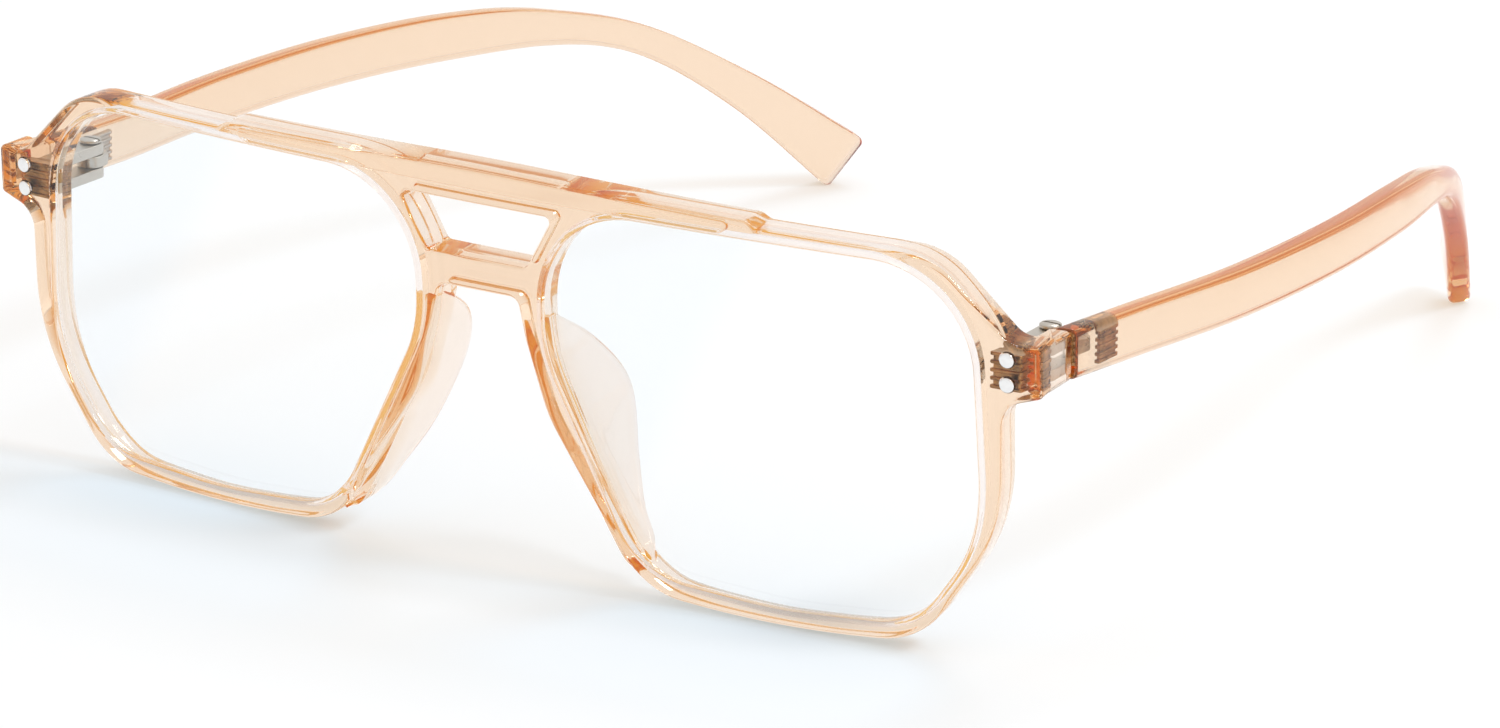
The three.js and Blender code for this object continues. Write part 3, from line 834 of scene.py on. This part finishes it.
def temple_blade():
    """The left temple, lofted along its line from the seam to the rounded tip."""
    count = 150
    line = [(x, y - ORIGIN_BEHIND_FRONT, z) for x, y, z in TEMPLE_LINE]
    spots, ways, length = even_line(line, count)

    def ring(index, shrink, set_back=None):
        t = index / (count - 1)
        lower = min(int(index), count - 2)
        share = index - lower
        centre = spots[lower] * (1 - share) + spots[lower + 1] * share
        way = ways[lower] * (1 - share) + ways[lower + 1] * share
        side = np.array([way[1], -way[0], 0])
        side /= np.linalg.norm(side)
        up = np.cross(side, way)
        twist = -TIP_TWIST * smooth_step(t, TWIST_FROM, 1)
        c, s = math.cos(twist), math.sin(twist)
        side, up = side * c - up * s, up * c + side * s
        half = BLADE_THICKNESS / 2 - shrink
        tall = blade_height(t) / 2 - shrink
        fillet = max(BLADE_FILLET - shrink, SMALLEST_FILLET)
        points = np.array([centre + side * w + up * h for w, h in section(half, tall, fillet)])
        if set_back is not None:
            points[:, 1] = seam_y(points) + set_back
        return points

    rings = [ring(0, inset, SEAM_GAP + depth) for inset, depth in quarter(BLADE_START_FILLET)]
    step = length / (count - 1)
    last = (length - TIP_FILLET) / step
    first = math.ceil(BLADE_START_LENGTH / step)
    rings += [ring(i, 0) for i in range(first, int(last))]
    for inset, depth in reversed(quarter(TIP_FILLET, 7)):
        rings.append(ring((length - depth) / step, inset * TIP_TAPER))
    return loft(rings)


def temple(side_name):
    blade = temple_blade()
    if SIDES[side_name] < 0:
        blade = flipped(blade)
    mesh = reshape(blade.mesh(f"blade_{side_name}"), lambda points: points * MM)
    node = f"temple_{side_name}"
    return finish_piece(f"blade_{side_name}", mesh, TEMPLE_PLASTIC, node, [node])


# ---------------------------------------------------------------- metal


def slab(corners, bottom, top, holes=(), edge=0.12):
    """A plate drawn in plan, with its thickness running up from bottom to top."""
    cuts = [(hole, edge / 2, False) for hole in holes]
    draft = plate(corners, cuts, bottom, top, (edge, edge), spacing=0.8)
    for point in draft.points:
        point[1], point[2] = point[2], point[1]
    return draft


def block(low, high, bottom, top, radius=0.3, edge=0.12):
    corners = [
        (low[0], low[1], radius), (high[0], low[1], radius),
        (high[0], high[1], radius), (low[0], high[1], radius),
    ]
    return slab(corners, bottom, top, edge=edge)


def toothed_anchor(low, high, top):
    """A core and its teeth, one above another, that hold a leaf in the plastic."""
    core_low, core_high = [v + TOOTH_LENGTH for v in low], [v - TOOTH_LENGTH for v in high]
    core = block(core_low, core_high, CORE_INSET, top - CORE_INSET)
    pitch = (top - TOOTH) / (TEETH - 1)
    return core, [block(low, high, k * pitch, k * pitch + TOOTH) for k in range(TEETH)]


def lathe(profile, segments=40):
    """Rings of (radius, height) round an upright axis, closed at both ends."""
    turns = [2 * math.pi * k / segments for k in range(segments)]
    return loft([[(r * math.cos(a), r * math.sin(a), z) for a in turns] for r, z in profile])


def hinge_piece(part, side_name, body, mesh):
    """A left hinge part drawn round the screw's axis, placed on its side as a finished piece."""
    side = SIDES[side_name]
    middle = np.array([HINGE_X, HINGE_Y, HINGE_BOTTOM])
    reshape(mesh, lambda points: (points + middle) * np.array([side, 1, 1]) * MM)
    name = f"nickel_{part}_{side_name}"
    finish_piece(name, mesh, HINGE, body, [f"hinge_{part}_{side_name}"], math.radians(50))


def front_leaf(side_name):
    core, teeth = toothed_anchor((-1.5, -10.0), (2.4, -7.1), HINGE_HEIGHT)
    outline = [(-1.2, -8.2, 0.3), (1.2, -8.2, 0.3), (1.5, 1.5, 1.45), (-1.5, 1.5, 1.45)]
    levels = [(0.02, EYE), (HINGE_HEIGHT - EYE, HINGE_HEIGHT - 0.02)]
    arms = [slab(outline, bottom, top, [BORE]) for bottom, top in levels]
    hinge_piece("front_leaf", side_name, "front", joined("front_leaf", core, [*teeth, *arms]))


def temple_leaf(side_name):
    core, teeth = toothed_anchor((2.2, 3.2), (3.7, 7.3), LEAF_HEIGHT)
    outline = [(-1.5, -1.5, 1.4), (1.5, -1.5, 1.4), (1.75, 3.0, 0.3), (1.4, 3.9, 0.3), (-1.5, 1.5, 1.4)]
    arm = slab(outline, EYE + EYE_GAP, HINGE_HEIGHT - EYE - EYE_GAP, [BORE])
    strap = block((1.3, 2.2), (2.5, 7.5), 0, LEAF_HEIGHT)
    mesh = joined("temple_leaf", core, [*teeth, strap, arm])
    hinge_piece("temple_leaf", side_name, f"temple_{side_name}", mesh)


def hinge_screw(side_name):
    top = HINGE_HEIGHT
    body = lathe([
        (0.3, 0.2), (0.68, 0.3), (0.68, top + 0.05), (1.15, top + 0.05), (1.25, top + 0.12),
        (1.25, top + 0.38), (1.19, top + 0.47), (1.0, top + 0.55), (0.3, top + 0.58),
    ])
    slot = block((-2, -0.17), (2, 0.17), top + 0.28, top + 0.8, 0.15, 0.02)
    hinge_piece("screw", side_name, "front", joined("screw", body, [slot], "DIFFERENCE"))


def rivet(level, height, side_name):
    """A domed head on a short shank, standing just proud of the front's face."""
    dome = [(0.83 * k / 6, -0.3 + 0.08 * (k / 6) ** 3) for k in range(1, 7)]
    seat = [(0.86, -0.16), (0.86, 0.03), (0.97, 0.05), (0.97, 0.3), (0.5, 0.45), (0.5, 1.5)]
    draft = lathe([*dome, *seat], 48)
    for point in draft.points:
        point[:] = SIDES[side_name] * (RIVET_ACROSS + point[0]), point[2], height + point[1]
    name = f"silver_rivet_{level}_{side_name}"
    mesh = reshape(draft.mesh(name), wrap)
    finish_piece(name, mesh, RIVET, "front", [f"rivet_{level}_{side_name}"], math.radians(50))


moulded_front()
for side_name in SIDES:
    lens(side_name)
    temple(side_name)
    front_leaf(side_name)
    temple_leaf(side_name)
    hinge_screw(side_name)
    for level, height in RIVET_HEIGHTS.items():
        rivet(level, height, side_name)

# ---------------------------------------------------------------- studio

CAMERA_AZIMUTH = 31.21
CAMERA_ELEVATION = 17.90
CAMERA_ROLL = 0.936
CAMERA_TARGET = (-0.01144, -0.0004, 0.00151)
CAMERA_DISTANCE = 0.93097
CAMERA_LENS_MM = 183.46
ROOM_LIGHT = 0.96
ROOM_BEHIND_CAMERA = (0.78, 0.46, 0.14, 1)
ROOM_MIRRORED = (0.9, 0.88, 0.86, 1)
ROOM_TURNS_AMBER = (-0.25, 0.35)
FLOOR_REACH = 6
MOST_BOUNCES = 24
MOST_SEE_THROUGH = 16


def floor():
    """A wide white sheet that touches the lowest point of the pieces."""
    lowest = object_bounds()[0][2]
    mesh = bpy.data.meshes.new("floor")
    signs = [(-1, -1), (1, -1), (1, 1), (-1, 1)]
    mesh.from_pydata([(x * FLOOR_REACH, y * FLOOR_REACH, 0) for x, y in signs], [], [(0, 1, 2, 3)])
    made = object_of("floor", mesh)
    made.location.z = lowest
    material, nodes, links, output = new_material("white_sweep")
    paper = nodes.new("ShaderNodeBsdfDiffuse")
    paper.inputs["Color"].default_value = (0.94, 0.94, 0.94, 1)
    links.new(paper.outputs[0], output.inputs["Surface"])
    mesh.materials.append(material)
    made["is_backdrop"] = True


def softbox(name, place, target, size, power):
    light = bpy.data.lights.new(name, "AREA")
    light.shape = "RECTANGLE"
    light.size, light.size_y = size
    light.energy = power
    made = object_of(name, light)
    made.location = place
    made.rotation_mode = "QUATERNION"
    made.rotation_quaternion = (Vector(target) - Vector(place)).to_track_quat("-Z", "Y")


def world():
    """A white room. Refracted light sees it turn amber towards the camera, and mirrored light sees grey."""
    made = bpy.data.worlds.new("studio")
    made.use_nodes = True
    nodes, links = made.node_tree.nodes, made.node_tree.links
    nodes.clear()
    output = nodes.new("ShaderNodeOutputWorld")
    room = nodes.new("ShaderNodeBackground")
    room.inputs["Strength"].default_value = ROOM_LIGHT
    seen = nodes.new("ShaderNodeBackground")
    place = nodes.new("ShaderNodeTexCoord")
    facing = nodes.new("ShaderNodeVectorMath")
    facing.operation = "DOT_PRODUCT"
    links.new(place.outputs["Generated"], facing.inputs[0])
    facing.inputs[1].default_value = camera_side()
    share = nodes.new("ShaderNodeMapRange")
    links.new(facing.outputs["Value"], share.inputs["Value"])
    share.inputs["From Min"].default_value = ROOM_TURNS_AMBER[0]
    share.inputs["From Max"].default_value = ROOM_TURNS_AMBER[1]
    blend = nodes.new("ShaderNodeMix")
    blend.data_type = "RGBA"
    links.new(share.outputs["Result"], blend.inputs["Factor"])
    blend.inputs["A"].default_value = (1, 1, 1, 1)
    blend.inputs["B"].default_value = ROOM_BEHIND_CAMERA
    links.new(blend.outputs["Result"], seen.inputs["Color"])
    mirrored = nodes.new("ShaderNodeBackground")
    mirrored.inputs["Color"].default_value = ROOM_MIRRORED
    path = nodes.new("ShaderNodeLightPath")
    base = room.outputs[0]
    for ray, light in (("Is Glossy Ray", mirrored), ("Is Transmission Ray", seen)):
        mix = nodes.new("ShaderNodeMixShader")
        links.new(path.outputs[ray], mix.inputs[0])
        links.new(base, mix.inputs[1])
        links.new(light.outputs[0], mix.inputs[2])
        base = mix.outputs[0]
    links.new(base, output.inputs["Surface"])
    bpy.context.scene.world = made


def camera_side():
    """The direction from the glasses to the camera."""
    a, e = math.radians(CAMERA_AZIMUTH), math.radians(CAMERA_ELEVATION)
    return Vector((math.sin(a) * math.cos(e), -math.cos(a) * math.cos(e), math.sin(e)))


def camera():
    data = bpy.data.cameras.new("camera")
    data.sensor_width = 36
    data.lens = CAMERA_LENS_MM
    data.clip_start, data.clip_end = 0.01, 50
    made = object_of("camera", data)
    back = camera_side()
    roll = Matrix.Rotation(math.radians(CAMERA_ROLL), 3, "Z")
    turn = (-back).to_track_quat("-Z", "Y").to_matrix() @ roll
    made.matrix_world = Matrix.Translation(Vector(CAMERA_TARGET) + back * CAMERA_DISTANCE) @ turn.to_4x4()
    bpy.context.scene.camera = made


floor()
world()
softbox("back_light", (-0.05, 0.7, 1.1), (0, 0, 0), (0.45, 0.35), 2.8)
softbox("side_light", (0.9, 0.1, 1.15), (0, 0, 0), (0.3, 0.3), 6.0)
camera()

scene = bpy.context.scene
scene.view_settings.view_transform = "Standard"
scene.view_settings.look = "None"
scene.cycles.max_bounces = MOST_BOUNCES
scene.cycles.glossy_bounces = MOST_BOUNCES
scene.cycles.transmission_bounces = MOST_BOUNCES
scene.cycles.transparent_max_bounces = MOST_SEE_THROUGH
scene.cycles.caustics_reflective = False
scene.cycles.caustics_refractive = False
